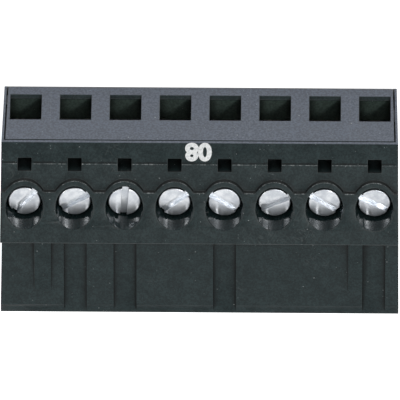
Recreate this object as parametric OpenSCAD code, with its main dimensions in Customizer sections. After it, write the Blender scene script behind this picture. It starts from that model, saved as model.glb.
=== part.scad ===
// Pluggable terminal block with rising-cage screw clamps.
// Units are millimetres. +X runs along the row of poles, -Y is the wire side, +Y is the mating side and
// +Z is the screw side. The origin is the middle of the footprint, on the underside.
// Inside the modules y counts from the wire face, and in_frame() moves the finished piece to the origin.

/* [Poles] */
// Number of poles in the row
poles = 8; // [2:1:10]
// Distance from one pole to the next
pitch = 5.08; // [5:0.02:7.62]

/* [Clamp screw] */
// Distance of the screw axes from the wire face
screw_y = 5.24; // [5.2:0.02:6.2]
// Diameter of the screw head
head_d = 3.3; // [3:0.05:3.4]
// Height of the screw head
head_h = 1.28; // [1.1:0.02:1.6]
// Bevel round the top of the head
head_bevel = 0.12; // [0.05:0.01:0.2]
// Width of the driver slot
slot_w = 0.66; // [0.5:0.02:0.8]
// Depth of the driver slot
slot_depth = 0.5; // [0.4:0.05:0.9]
// Diameter of the threaded shank
thread_d = 2.5; // [2:0.05:3]
// Length of the cone at the screw's tip
tip_h = 0.3; // [0.1:0.05:0.5]
// Angle of each driver slot as the screws happen to stand, counted from +X
slot_angles = [-26, -33.5, 25, -33, 38.5, 86, 31, 49];

/* [Clamp cage] */
// Width of the cage across the row
cage_w = 3.6; // [3:0.02:3.7]
// Length of the cage along the wire
cage_l = 4.6; // [4.2:0.1:4.8]
// Thickness of the cage's two side walls
cage_wall = 0.45; // [0.35:0.01:0.5]
// Thickness of the cage's floor, which presses the wire up
cage_floor = 0.65; // [0.5:0.05:0.9]
// Thickness of the cage's threaded top
cage_top = 1.4; // [1.2:0.1:1.8]
// Outer radius of the cage's four bends
cage_bend = 0.7; // [0.5:0.05:0.8]
// Room for the wire between the cage's floor and the current bar, clamp open
wire_room = 3.7; // [3:0.1:4]
// Depth of the grip grooves across the cage's floor
grip_depth = 0.15; // [0.1:0.01:0.2]
// Number of grip grooves
grip_count = 3; // [1:1:4]

/* [Contact] */
// Thickness of the current bar
bar_t = 0.8; // [0.6:0.05:1]
// Length of the folded root behind the bar, which holds the spring arms
root_l = 1.6; // [1.2:0.1:2]
// Height of the folded root
root_h = 2.4; // [2.2:0.1:2.8]
// Thickness of the two spring arms
arm_t = 0.5; // [0.3:0.05:0.6]
// Width of the slit that parts each arm into two fingers
finger_slit = 0.4; // [0.2:0.05:0.6]
// Gap between the arms where they grip the pin
grip_gap = 0.9; // [0.8:0.05:0.95]
// Gap between the arms at their flared tips
flare_gap = 1.3; // [1.1:0.05:1.4]

/* [Housing] */
// Thickness of the housing outside the end clamps
side_wall = 0.52; // [0.5:0.02:1.2]
// Thickness of the housing under the clamps
floor_wall = 0.85; // [0.5:0.05:1]
// Thickness of the web that carries the screw heads
neck_wall = 0.6; // [0.5:0.05:1]
// Wall of the half-round collars round the screw heads
collar_wall = 0.48; // [0.2:0.02:0.5]
// Distance ahead of the screw axes at which the deck is level with the screw heads
deck_level = 2.08; // [1.8:0.02:2.3]
// Slope of the deck that the screws stand in
deck_slope = 29.5; // [25:0.5:32]
// Distance of the deck's front edge ahead of the screw axes
deck_front = 1.37; // [1.2:0.01:1.6]
// Distance of the deck's back edge behind the screw axes
deck_back = 3.26; // [3.2:0.02:4]
// Step from the deck down to the apron
riser_h = 0.54; // [0.4:0.02:0.7]
// Slope of the apron in front of the deck
apron_slope = 31.4; // [25:0.2:35]
// Depth of the apron from front to back
apron_run = 2.23; // [2:0.01:2.3]
// Slope of the marking band below the apron
band_slope = 42.6; // [40:0.2:50]
// Draw of each side wall towards the underside
side_draft = 0.15; // [0.1:0.01:0.2]
// Flare of each side wall from the wire face to the mating face
side_flare = 0.2; // [0.1:0.02:0.3]
// Radius of the outer edges
edge_r = 0.2; // [0.1:0.05:0.3]

/* [Mating nose] */
// Depth of the shoulder between the clamps and the nose
shoulder_l = 3.9; // [3.5:0.1:5]
// Rise of the shoulder above the nose, a stop for the header's upper rim
shoulder_rise = 0.6; // [0.4:0.1:0.7]
// Length of the nose
nose_l = 9.48; // [8.6:0.02:11.4]
// Height of the nose's top above the underside
nose_top = 9.65; // [9.4:0.05:10]
// Step of the nose above the underside, which clears the header's floor
nose_lift = 0.8; // [0.5:0.1:1.2]
// Step of the nose's right side at its root, which runs out at the mating face
nose_relief = 0.13; // [0.05:0.01:0.2]
// Length of the lead-in slope along the nose's top edge
lead_in_l = 1.43; // [0.8:0.01:1.6]
// Drop of that lead-in slope
lead_in_drop = 0.6; // [0.4:0.05:0.8]
// Thickness of the wall in front of the contacts
nose_wall = 1; // [0.8:0.1:1.4]
// Width of the square pin holes
pin_hole = 1.5; // [1.3:0.05:1.7]
// Width of the funnel round a pin hole, at the mating face
pin_funnel = 2.3; // [2:0.05:2.4]
// Height of the snap ridge under the nose
ridge_h = 0.3; // [0.2:0.05:0.4]
// Width of the coding grooves along the nose's top
code_w = 2.34; // [2:0.02:2.4]
// Depth of the coding grooves
code_depth = 0.42; // [0.3:0.02:0.5]
// Poles with a coding groove, counted from the left end
code_poles = [1, 4, 6, 7];
// Width of the two guide ribs
rib_w = 1.72; // [1.4:0.02:1.8]
// Height of the guide ribs where they leave the shoulder
rib_h = 0.5; // [0.3:0.05:0.6]
// Length of the guide ribs, from the shoulder to their feathered ends
rib_l = 6.3; // [5:0.1:7]
// Distance of the guide ribs' middles inside the end poles
rib_inset = 1.75; // [1.6:0.01:1.9]

/* [Wire entries] */
// Thickness of the cheeks beside the wire entries
cheek_t = 0.225; // [0.2:0.005:0.4]
// Height of the wire entries
entry_h = 4.18; // [3.8:0.02:4.5]
// Rise of the entries' floors above the open cages' floors
entry_sill = 0.3; // [0.1:0.05:0.4]
// Thickness of the front plate
plate_t = 1; // [0.8:0.05:1.1]
// Visible gap round the front plate
plate_gap = 0.14; // [0.08:0.01:0.2]
// Housing rim left above the front plate
top_rim = 0.36; // [0.3:0.01:0.45]
// Housing rim left beside the front plate
side_rim = 0.25; // [0.2:0.01:0.3]
// Height of the front plate's lower edge above the underside
plate_foot = 0.25; // [0.1:0.05:0.4]
// Bevel along the lower edge of a wire entry
entry_bevel = 0.3; // [0.1:0.05:0.4]
// Length of the left and of the right snap nose up the front plate's sides
snap_h = [2.4, 1.9];
// Height of the left and of the right snap nose above the underside
snap_z = [3.45, 1.3];
// Height of the slits above and below a snap nose
snap_slit = 0.12; // [0.08:0.01:0.15]
// Depth of the guides behind the wire entries
guide_l = 1.8; // [1:0.1:1.8]
// Width of the test probe holes
probe_w = 1.41; // [1.2:0.01:1.6]
// Depth of the test probe holes from front to back
probe_l = 1.06; // [0.9:0.02:1.1]
// Distance of the probe holes' front edges ahead of the edge between band and apron
probe_ahead = 0.44; // [0.4:0.01:0.5]

/* [Clearances] */
// Sliding clearance on each side of a clamp cage
cage_gap = 0.06; // [0.04:0.01:0.07]
// Clearance between a cage and what it stops against
stop_gap = 0.05; // [0.03:0.01:0.08]
// Radial running clearance round the screw's shank
shank_gap = 0.05; // [0.03:0.01:0.08]
// Radial clearance round a screw head
head_gap = 0.25; // [0.1:0.01:0.3]
// Clearance under a screw head
seat_gap = 0.02; // [0.01:0.01:0.05]
// Clearance round a contact and round the front plate's guides
fit_gap = 0.03; // [0.02:0.01:0.05]
// Clearance between the current bar and the cage's side walls
bar_gap = 0.15; // [0.1:0.01:0.3]

/* [Hidden] */
$fn = 48;

plastic = [0.16, 0.19, 0.20];
zinc = [0.80, 0.81, 0.83];
steel = [0.62, 0.63, 0.65];
tin = [0.78, 0.74, 0.66];
eps = 0.01;

// Clamp, from the underside up
cage_z = floor_wall + stop_gap;
wire_floor_z = cage_z + cage_floor;
bar_z = wire_floor_z + wire_room;
bar_top = bar_z + bar_t;
cage_lift = wire_room - 2 * stop_gap;
cage_window_top = bar_top + 2 * stop_gap;
cage_h = cage_window_top + cage_top - cage_z;
well_top = cage_z + cage_h + cage_lift + stop_gap;
head_z = well_top + neck_wall + seat_gap;
head_top = head_z + head_h;
shank_z = bar_top + stop_gap;

// Clamp, from the wire face back
well_w = cage_w + 2 * cage_gap;
well_front = screw_y - cage_l / 2 - cage_gap;
well_back = screw_y + cage_l / 2 + cage_gap;
gate_top = cage_z + cage_h + 2 * stop_gap;
guide_back = min(plate_t + guide_l, well_front - stop_gap);
guide_w = well_w - 2 * fit_gap;
entry_w = guide_w - 2 * cheek_t;
entry_z = wire_floor_z + entry_sill;

// Housing
row_l = (poles - 1) * pitch;
width = row_l + well_w + 2 * side_wall;
shoulder_y = screw_y + deck_back;
nose_y = shoulder_y + shoulder_l;
depth = nose_y + nose_l;
recess_r = head_d / 2 + head_gap;
collar_r = recess_r + collar_wall;
deck_front_y = screw_y - deck_front;
band_edge_y = deck_front_y - apron_run;
band_edge_z = apron_z(band_edge_y);
face_h = band_edge_z - band_edge_y * tan(band_slope);
height = deck_z(shoulder_y);
flare_angle = atan(side_flare / depth);

// Contact
bar_w = cage_w - 2 * cage_wall - 2 * bar_gap;
pin_z = bar_top - root_h / 2;
bar_front = plate_t + 2 * stop_gap;
root_y = well_back + root_l;
cavity_back = depth - nose_wall;
arm_tip = cavity_back - 3 * stop_gap;
cavity_w = bar_w + 2 * fit_gap;

// Height of the deck's plane, which the collars' rims lie in
function deck_z(y) = head_top + (y - screw_y + deck_level) * tan(deck_slope);

// Height of the apron's plane
function apron_z(y) = deck_z(deck_front_y) - riser_h + (y - deck_front_y) * tan(apron_slope);

// Place of a pole along the row, for i from 1 at the left end
function pole_x(i) = (i - 1) * pitch - row_l / 2;

function unit(v) = v / norm(v);

// The points of one corner: an arc of radius r between the edges to a and to c, or the corner itself
function corner(a, b, c, r, steps) =
    r == 0 ? [b] :
    let (
        u = unit(a - b),
        w = unit(c - b),
        half = acos(u * w) / 2,
        middle = b + unit(u + w) * r / sin(half),
        first = b + u * r / tan(half) - middle,
        last = b + w * r / tan(half) - middle,
        start = atan2(first[1], first[0]),
        turn = (atan2(last[1], last[0]) - start + 540) % 360 - 180
    )
    [for (i = [0:steps]) middle + r * [cos(start + turn * i / steps), sin(start + turn * i / steps)]];

// An outline whose points are [x, y, corner radius]
function rounded(points, steps = 4) =
    let (n = len(points), at = function (i) [points[i % n][0], points[i % n][1]])
    [for (i = [0:n - 1]) each corner(at(i + n - 1), at(i), at(i + 1), points[i][2], steps)];

// Moves a finished piece from the wire face to the frame's origin
module in_frame() {
    translate([0, -depth / 2, 0]) children();
}

// Draws its children at pole i
module at_pole(i) {
    translate([pole_x(i), 0, 0]) children();
}

// A prism along X, centred, whose section is an outline in y and z
module along_x(w) {
    rotate([90, 0, 90]) linear_extrude(w, center = true) children();
}

// A prism along Y from y0 to y1, whose section is an outline in x and z
module along_y(y0, y1) {
    translate([0, y1, 0]) rotate([90, 0, 0]) linear_extrude(y1 - y0) children();
}

// A box centred on x = 0, given by its width and its limits in y and z
module slab(w, y0, y1, z0, z1) {
    translate([-w / 2, y0, z0]) cube([w, y1 - y0, z1 - z0]);
}

// Side view of the housing below the deck
module base_view() {
    polygon(rounded([
        [0, 0, edge_r],
        [0, face_h, edge_r / 2],
        [band_edge_y, band_edge_z, edge_r],
        [screw_y, apron_z(screw_y), 0],
        [screw_y, nose_top + shoulder_rise, 0],
        [nose_y, nose_top + shoulder_rise, edge_r],
        [nose_y, nose_top, 0],
        [depth - lead_in_l, nose_top, edge_r],
        [depth, nose_top - lead_in_drop, edge_r],
        [depth, nose_lift + lead_in_drop, edge_r],
        [depth - lead_in_l, nose_lift, edge_r],
        [nose_y, nose_lift, 0],
        [nose_y, 0, edge_r]
    ]));
}

// Draws its children from the right side wall, along its flare
module at_side() {
    translate([width / 2, 0, 0]) rotate(-flare_angle) children();
}

// Everything inside the right side wall, which draws in towards the underside
module side_limit() {
    at_side() along_y(-1, depth + 1) polygon(rounded([
        [-width - 1, 0, 0],
        [-width - 1, height + 1, 0],
        [0, height + 1, 0],
        [0, face_h, 0],
        [-side_draft, 0, edge_r]
    ]));
}

// Plan of the step in the nose's right side
module relief_plan() {
    polygon([
        [-nose_relief, shoulder_y],
        [0, depth],
        [1, depth],
        [1, shoulder_y]
    ]);
}

// Sloping deck: its plan has a straight front edge with a half-round collar ahead of each screw
module deck() {
    intersection() {
        along_x(width + 2) polygon(rounded([
            [0, nose_top, 0],
            [0, deck_z(0), 0],
            [shoulder_y, height, edge_r],
            [shoulder_y, nose_top, 0]
        ]));
        linear_extrude(height + 1) union() {
            translate([-width, deck_front_y]) square([2 * width, shoulder_l + deck_front + deck_back]);
            for (i = [1:poles]) translate([pole_x(i), screw_y]) circle(r = collar_r);
        }
    }
}

// Guide rib on the nose, feathered towards the mating edge
module guide_rib() {
    along_x(rib_w) polygon([
        [nose_y - eps, nose_top - eps],
        [nose_y - eps, nose_top + rib_h],
        [nose_y + rib_l * 0.94, nose_top + rib_h * 0.25],
        [nose_y + rib_l, nose_top - eps]
    ]);
}

// Snap ridge across the underside of the nose
module snap_ridge() {
    along_x(width / 2) polygon([
        [nose_y + nose_l * 0.45, nose_lift + eps],
        [nose_y + nose_l * 0.50, nose_lift - ridge_h],
        [nose_y + nose_l * 0.54, nose_lift - ridge_h],
        [nose_y + nose_l * 0.62, nose_lift + eps]
    ]);
}

// Groove for a coding piece, open at the mating edge
module coding_groove() {
    slab(code_w, nose_y - eps, depth + 1, nose_top - code_depth, nose_top + 1);
}

// The well of one clamp: cage room, front gate, screw neck, head recess and test probe hole
module clamp_well() {
    slab(well_w, well_front, well_back, floor_wall, well_top);
    slab(well_w, plate_t - eps, well_front + eps, floor_wall, gate_top);
    translate([0, screw_y, well_top - eps]) cylinder(r = thread_d / 2 + shank_gap, h = neck_wall + 2 * eps);
    translate([0, screw_y, well_top + neck_wall]) cylinder(r = recess_r, h = height);
    slab(probe_w, band_edge_y - probe_ahead, band_edge_y - probe_ahead + probe_l, gate_top - eps, height);
}

// The long cell of one contact, with its funnelled pin hole in the nose's front wall
module contact_cell() {
    slab(cavity_w, well_back - eps, cavity_back, bar_top - root_h - fit_gap, bar_top + fit_gap);
    translate([0, 0, pin_z]) {
        slab(pin_hole, cavity_back - eps, depth + eps, -pin_hole / 2, pin_hole / 2);
        pin_funnel_cut();
    }
}

// Four-sided funnel at the mouth of a pin hole: one slope across the row and one up and down
module pin_funnel_cut() {
    narrow = pin_hole / 2;
    wide = pin_funnel / 2;
    inner = depth - (wide - narrow);
    outline = [[inner, -narrow], [inner, narrow], [depth + eps, wide], [depth + eps, -wide]];
    intersection() {
        along_x(pin_funnel + 1) polygon(outline);
        linear_extrude(pin_funnel + 1, center = true) polygon([for (p = outline) [p[1], p[0]]]);
    }
}

// Outline of the front plate or, with no gap, of its recess: x, then z from a foot to the top rim
module plate_outline(gap, foot) {
    half = width / 2 - side_rim - gap;
    top = face_h - top_rim - gap;
    polygon([
        [-half + side_draft, foot],
        [-half, top],
        [half, top],
        [half - side_draft, foot]
    ]);
}

// Recess for the front plate, open at the wire face and at the underside, with its two snap windows
module plate_recess() {
    along_y(-1, plate_t) plate_outline(0, -1);
    for (side = [0, 1]) mirror([1 - side, 0, 0]) translate([width / 2, 0, 0])
        slab(2 * (side_rim + side_draft), snap_slit, plate_t, snap_z[side], snap_z[side] + snap_h[side]);
}

// Snap nose at the front plate's side, sloped at the back so that it can be pushed in
module snap_nose(z, h) {
    root = width / 2 - side_rim - side_draft - 2 * plate_gap;
    tip = width / 2 - side_draft;
    translate([0, 0, z + snap_slit]) linear_extrude(h - 2 * snap_slit) polygon([
        [root, 2 * snap_slit],
        [tip, 2 * snap_slit],
        [tip, plate_t / 2],
        [root, plate_t - snap_slit]
    ]);
}

module housing() {
    color(plastic) in_frame() difference() {
        union() {
            intersection() {
                union() {
                    along_x(width + 1) base_view();
                    deck();
                }
                side_limit();
                mirror([1, 0, 0]) side_limit();
            }
            for (side = [-1, 1]) translate([side * (row_l / 2 - rib_inset), 0, 0]) guide_rib();
            snap_ridge();
        }
        plate_recess();
        at_side() translate([0, 0, -1]) linear_extrude(height) relief_plan();
        for (i = code_poles) if (i <= poles) at_pole(i) coding_groove();
        for (i = [1:poles]) at_pole(i) {
            clamp_well();
            contact_cell();
        }
    }
}

// Front plate: a face with the wire entries, and behind each entry a floor and two cheeks
module front_plate() {
    color(plastic) in_frame() difference() {
        union() {
            along_y(0, plate_t - fit_gap) plate_outline(plate_gap, plate_foot);
            for (side = [0, 1]) mirror([1 - side, 0, 0]) snap_nose(snap_z[side], snap_h[side]);
            for (i = [1:poles]) at_pole(i)
                slab(guide_w, eps, guide_back, floor_wall + fit_gap, bar_z - stop_gap);
        }
        for (i = [1:poles]) at_pole(i) {
            slab(entry_w, -1, guide_back + 1, entry_z, entry_z + entry_h);
            along_x(entry_w) polygon([
                [-eps, entry_z - entry_bevel],
                [entry_bevel, entry_z + eps],
                [-eps, entry_z + eps]
            ]);
        }
    }
}

// Slotted clamp screw, its thread left plain
module clamp_screw(i) {
    r = thread_d / 2;
    color(zinc) in_frame() at_pole(i) translate([0, screw_y, 0]) difference() {
        rotate_extrude() polygon([
            [0, shank_z],
            [r - tip_h, shank_z],
            [r, shank_z + tip_h],
            [r, head_z],
            [head_d / 2, head_z],
            [head_d / 2, head_top - head_bevel],
            [head_d / 2 - head_bevel, head_top],
            [0, head_top]
        ]);
        rotate(slot_angles[(i - 1) % len(slot_angles)])
            slab(head_d + 1, -slot_w / 2, slot_w / 2, head_top - slot_depth, head_top + 1);
    }
}

// Bent clamp cage with a threaded top and a grooved floor
module clamp_cage(i) {
    half = cage_w / 2;
    inner = half - cage_wall;
    inner_bend = max(cage_bend - cage_wall, 0.1);
    top = cage_z + cage_h;
    color(steel) in_frame() at_pole(i) difference() {
        along_y(screw_y - cage_l / 2, screw_y + cage_l / 2) difference() {
            polygon(rounded([
                [-half, cage_z, cage_bend],
                [-half, top, cage_bend],
                [half, top, cage_bend],
                [half, cage_z, cage_bend]
            ]));
            polygon(rounded([
                [-inner, wire_floor_z, inner_bend],
                [-inner, cage_window_top, inner_bend],
                [inner, cage_window_top, inner_bend],
                [inner, wire_floor_z, inner_bend]
            ]));
        }
        translate([0, screw_y, shank_z - cage_lift - stop_gap])
            cylinder(r = thread_d / 2 + shank_gap, h = cage_h + cage_lift);
        for (k = [1:grip_count]) translate([0, screw_y - cage_l / 2 + k * cage_l / (grip_count + 1), 0])
            along_x(2 * (inner - inner_bend)) polygon([
                [-grip_depth, wire_floor_z + eps],
                [0, wire_floor_z - grip_depth],
                [grip_depth, wire_floor_z + eps]
            ]);
    }
}

// One spring arm of the contact in side view, with its inner side up the +z way
module spring_arm(side) {
    grip_y = arm_tip - 1.9;
    polygon([for (p = [
        [root_y - eps, root_h / 2 - arm_t],
        [grip_y - 0.4, grip_gap / 2],
        [grip_y + 0.4, grip_gap / 2],
        [arm_tip, flare_gap / 2],
        [arm_tip, flare_gap / 2 + arm_t],
        [grip_y + 0.5, grip_gap / 2 + arm_t],
        [grip_y - 0.5, grip_gap / 2 + arm_t],
        [root_y - eps, root_h / 2]
    ]) [p[0], pin_z + side * p[1]]]);
}

// Current bar, folded root and two slit spring arms, stamped from one strip
module contact(i) {
    color(tin) in_frame() at_pole(i) difference() {
        union() {
            slab(bar_w, bar_front, root_y, bar_z, bar_top);
            slab(bar_w, well_back + stop_gap, root_y, bar_top - root_h, bar_top);
            along_x(bar_w) spring_arm(1);
            along_x(bar_w) spring_arm(-1);
        }
        slab(finger_slit, root_y + arm_t, depth, 0, height);
    }
}

housing();
front_plate();
for (i = [1:poles]) {
    clamp_screw(i);
    clamp_cage(i);
    contact(i);
}
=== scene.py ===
"""Looks of a pluggable terminal block with eight rising-cage screw clamps.

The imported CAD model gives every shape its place. This script rounds the edges of
the moulded and stamped pieces, cuts real threads on the screws, adds the moulding
flash and the printed mark, and dresses each piece in a node-based finish.
Lengths are metres. +X runs along the row, -Y is the wire side, +Z the screw side.
"""

import logging
import math
from dataclasses import dataclass
from enum import Enum

import bmesh
import bpy
from mathutils import Matrix, Vector


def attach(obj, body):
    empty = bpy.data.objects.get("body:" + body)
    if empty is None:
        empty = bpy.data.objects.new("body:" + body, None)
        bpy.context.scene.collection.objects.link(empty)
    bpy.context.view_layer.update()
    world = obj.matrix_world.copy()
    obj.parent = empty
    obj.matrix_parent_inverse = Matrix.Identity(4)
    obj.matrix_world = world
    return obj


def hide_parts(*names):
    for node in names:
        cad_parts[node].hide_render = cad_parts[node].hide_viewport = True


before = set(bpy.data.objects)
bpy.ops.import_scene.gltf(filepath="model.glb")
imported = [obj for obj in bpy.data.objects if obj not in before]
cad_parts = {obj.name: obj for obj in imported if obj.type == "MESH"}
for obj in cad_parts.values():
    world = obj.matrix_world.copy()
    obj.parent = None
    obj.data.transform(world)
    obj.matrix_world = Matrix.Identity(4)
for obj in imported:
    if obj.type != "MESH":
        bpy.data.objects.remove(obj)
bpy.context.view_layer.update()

MM = 0.001
log = logging.getLogger("terminal_block")

Socket = bpy.types.NodeSocket
Sockets = bpy.types.bpy_prop_collection
Colour = tuple[float, float, float]
Span = tuple[float, float]
Point = tuple[float, float, float]

FLOAT, VECTOR, GEOMETRY = "NodeSocketFloat", "NodeSocketVector", "NodeSocketGeometry"


class Slot(Enum):
    """Material slots of the record, one given with each piece."""

    HOUSING = "housing_plastic"
    PLATE = "plate_plastic"
    SCREW = "screw_zinc"
    CAGE = "cage_steel"
    CONTACT = "contact_tin"


@dataclass(frozen=True)
class Row:
    """The row of poles, given once and shared by every sub-assembly."""

    poles: int = 8
    pitch: float = 5.08 * MM
    wire_face_y: float = -10.94 * MM
    axis_y: float = -5.70 * MM
    recess_r: float = 1.90 * MM
    collar_r: float = 2.38 * MM
    head_top: float = 13.10 * MM
    deck_level: float = 2.08 * MM
    deck_slope_deg: float = 29.5
    deck_front: float = 1.37 * MM

    def numbers(self) -> range:
        """Numbers of the poles, from 1 at the left end."""
        return range(1, self.poles + 1)

    def pole_x(self, index: int) -> float:
        """Place of a pole along the row."""
        return (index - (self.poles + 1) / 2) * self.pitch

    def deck_z(self, y: float) -> float:
        """Height of the sloping deck at a place along Y."""
        rise = (y - self.axis_y + self.deck_level) * math.tan(math.radians(self.deck_slope_deg))
        return self.head_top + rise


ROW = Row()


# ---- node graphs


class Graph:
    """A shader or geometry tree with short calls for the nodes it is built from."""

    def __init__(self, tree: bpy.types.NodeTree) -> None:
        """Starts on the tree that the nodes are added to."""
        self.tree = tree

    def node(self, kind: str, inputs: dict | None = None, **settings: object) -> bpy.types.Node:
        """Adds one node.

        Args:
            kind: The node's type name.
            inputs: Values or sockets by input name or index.
            settings: Attributes of the node itself.

        Returns:
            The new node.
        """
        made = self.tree.nodes.new(kind)
        for name, value in settings.items():
            setattr(made, name, value)
        for key, value in (inputs or {}).items():
            self.feed(made.inputs[key], value)
        return made

    def feed(self, target: Socket, value: object) -> None:
        """Links a socket to an input, or writes a plain value on it.

        Args:
            target: The input.
            value: A socket, a plain value, or None to leave the input alone.
        """
        if isinstance(value, Socket):
            self.tree.links.new(value, target)
        elif value is not None:
            target.default_value = value

    def math(self, operation: str, a: object, b: object = None, clamp: bool = False) -> Socket:
        """Adds a Math node on sockets or numbers; clamp holds its result between 0 and 1."""
        made = self.node("ShaderNodeMath", {0: a, 1: b}, operation=operation, use_clamp=clamp)
        return made.outputs[0]

    def plus(self, a: object, b: object) -> Socket:
        """Adds two values."""
        return self.math("ADD", a, b)

    def minus(self, a: object, b: object, clamp: bool = False) -> Socket:
        """Takes the second value from the first."""
        return self.math("SUBTRACT", a, b, clamp)

    def times(self, first: object, *others: object) -> Socket:
        """Multiplies two or more values.

        Args:
            first: The first of them.
            others: The rest.

        Returns:
            The product's socket.
        """
        for other in others:
            first = self.math("MULTIPLY", first, other)
        return first

    def weigh(self, a: Socket, b: Socket, share: float) -> Socket:
        """Adds two values, the first by its share and the second by the rest."""
        return self.plus(self.times(a, share), self.times(b, 1.0 - share))

    def fade(self, distance: Socket, reach: Socket) -> Socket:
        """Falls from 1 at no distance to 0 at the reach."""
        return self.minus(1.0, self.math("DIVIDE", distance, reach), clamp=True)

    def split(self, vector: Socket) -> Sockets:
        """Splits a vector into its three coordinates."""
        return self.node("ShaderNodeSeparateXYZ", {"Vector": vector}).outputs

    def mapped(self, vector: Socket, turn: tuple, scale: tuple, kind: str = "POINT") -> Socket:
        """Turns and scales coordinates; TEXTURE turns them first and stretches the pattern."""
        return self.node("ShaderNodeMapping", {"Vector": vector, "Rotation": turn, "Scale": scale},
                         vector_type=kind).outputs[0]

    def smooth(self, value: object, low: float, high: float, out_low: float = 0.0,
               out_high: float = 1.0) -> Socket:
        """Maps a value smoothly from the span low to high onto out_low to out_high."""
        made = self.node("ShaderNodeMapRange", {
            "Value": value, "From Min": low, "From Max": high,
            "To Min": out_low, "To Max": out_high}, interpolation_type="SMOOTHSTEP")
        return made.outputs[0]

    def blend(self, factor: object, a: object, b: object, mode: str = "MIX") -> Socket:
        """Mixes two colours.

        Args:
            factor: Share of the second colour.
            a: First colour, a socket or three numbers.
            b: Second colour.
            mode: The blending mode.

        Returns:
            The mixed colour's socket.
        """
        a, b = ((*c, 1.0) if isinstance(c, tuple) else c for c in (a, b))
        made = self.node("ShaderNodeMix", data_type="RGBA", blend_type=mode)
        for index, value in ((0, factor), (6, a), (7, b)):
            self.feed(made.inputs[index], value)
        return made.outputs[2]

    def noise(self, vector: Socket, scale: object, detail: float = 2.0,
              roughness: float = 0.5) -> Socket:
        """Adds a Noise Texture, with its scale in waves per metre, and returns its value."""
        made = self.node("ShaderNodeTexNoise", {
            "Vector": vector, "Scale": scale, "Detail": detail, "Roughness": roughness})
        return made.outputs["Fac"]


class ShaderGroup:
    """A node group with named sockets, built once and placed in many materials."""

    library: dict[str, bpy.types.NodeTree] = {}

    def __init__(self, name: str, values: dict[str, float], outputs: tuple[str, ...],
                 vectors: tuple[str, ...] = ("Vector",)) -> None:
        """Makes the group's tree and its sockets.

        Args:
            name: The group's name.
            values: Default by name of the inputs that take a number.
            outputs: Names of the values that the group puts out.
            vectors: Names of the inputs that take a vector.
        """
        self.tree = bpy.data.node_groups.new(name, "ShaderNodeTree")
        face = self.tree.interface
        for label in vectors:
            face.new_socket(name=label, in_out="INPUT", socket_type=VECTOR)
        for label, value in values.items():
            face.new_socket(name=label, in_out="INPUT", socket_type=FLOAT).default_value = value
        for label in outputs:
            face.new_socket(name=label, in_out="OUTPUT", socket_type=FLOAT)
        self.graph = Graph(self.tree)
        self.enter = self.tree.nodes.new("NodeGroupInput").outputs
        self.leave = self.tree.nodes.new("NodeGroupOutput").inputs
        ShaderGroup.library[name] = self.tree

    def out(self, name: str, value: Socket) -> None:
        """Links a result to one of the group's outputs."""
        self.tree.links.new(value, self.leave[name])


def build_grain_group() -> None:
    """Builds the spark-eroded grain of moulded plastic: a height, a tone and a fine grit."""
    coarse_gain, grit_gain, fine_share, mottle_share = 0.37, 0.5, 0.65, 0.6
    group = ShaderGroup("moulded_grain", {"Scale": 9000.0, "Mottle Scale": 700.0},
                        ("Height", "Tone", "Grit"))
    g, here, scale = group.graph, group.enter["Vector"], group.enter["Scale"]
    fine = g.noise(here, scale, detail=3.0, roughness=0.6)
    coarse = g.noise(here, g.times(scale, coarse_gain), detail=1.0)
    mottle = g.noise(here, group.enter["Mottle Scale"], detail=4.0, roughness=0.62)
    group.out("Height", g.weigh(fine, coarse, fine_share))
    group.out("Tone", g.smooth(g.weigh(mottle, fine, mottle_share), 0.3, 0.7))
    group.out("Grit", g.noise(here, g.times(scale, grit_gain), detail=1.0))


def build_dust_group() -> None:
    """Builds sparse bright specks: round grains and a few short fibres."""
    softness, least_size, size_span, least_strength = 4.0, 0.35, 0.8, 0.25
    group = ShaderGroup("dust_specks", {"Cell": 2300.0, "Share": 0.9, "Size": 0.11}, ("Mask",))
    g, enter = group.graph, group.enter
    masks = []
    for turn, stretch, gain in ((0.0, 1.0, 1.0), (0.9, 2.6, 0.62)):
        place = g.mapped(enter["Vector"], (0.3 * turn, 0.2 * turn, turn), (1.0, stretch, 1.0))
        cell = g.node("ShaderNodeTexVoronoi", {
            "Vector": place, "Scale": g.times(enter["Cell"], gain), "Randomness": 1.0}).outputs
        pick = g.node("ShaderNodeSeparateColor", {"Color": cell["Color"]}).outputs
        chosen = g.math("GREATER_THAN", pick[0], enter["Share"])
        size = g.times(enter["Size"], g.plus(g.times(pick[1], size_span), least_size))
        soft = g.math("MULTIPLY", g.fade(cell["Distance"], size), softness, clamp=True)
        strength = g.plus(g.times(pick[2], 1.0 - least_strength), least_strength)
        masks.append(g.times(soft, chosen, strength))
    group.out("Mask", g.math("MAXIMUM", masks[0], masks[1]))


def build_scuff_group() -> None:
    """Builds short diagonal rub marks that gather in patches."""
    directions, stretch = (0.75, 1.35, -0.5), (1.0, 7.0, 4.0)
    group = ShaderGroup("rub_marks", {"Scale": 7000.0, "Patch Scale": 190.0}, ("Mask",))
    g, enter = group.graph, group.enter
    lines = 0.0
    for turn in directions:
        place = g.mapped(enter["Vector"], (0.0, 0.0, turn), stretch, kind="TEXTURE")
        streak = g.noise(place, enter["Scale"], detail=1.0, roughness=0.4)
        lines = g.math("MAXIMUM", lines, g.smooth(streak, 0.6, 0.72))
    patch = g.smooth(g.noise(enter["Vector"], enter["Patch Scale"]), 0.52, 0.72)
    group.out("Mask", g.times(lines, patch))


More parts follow.
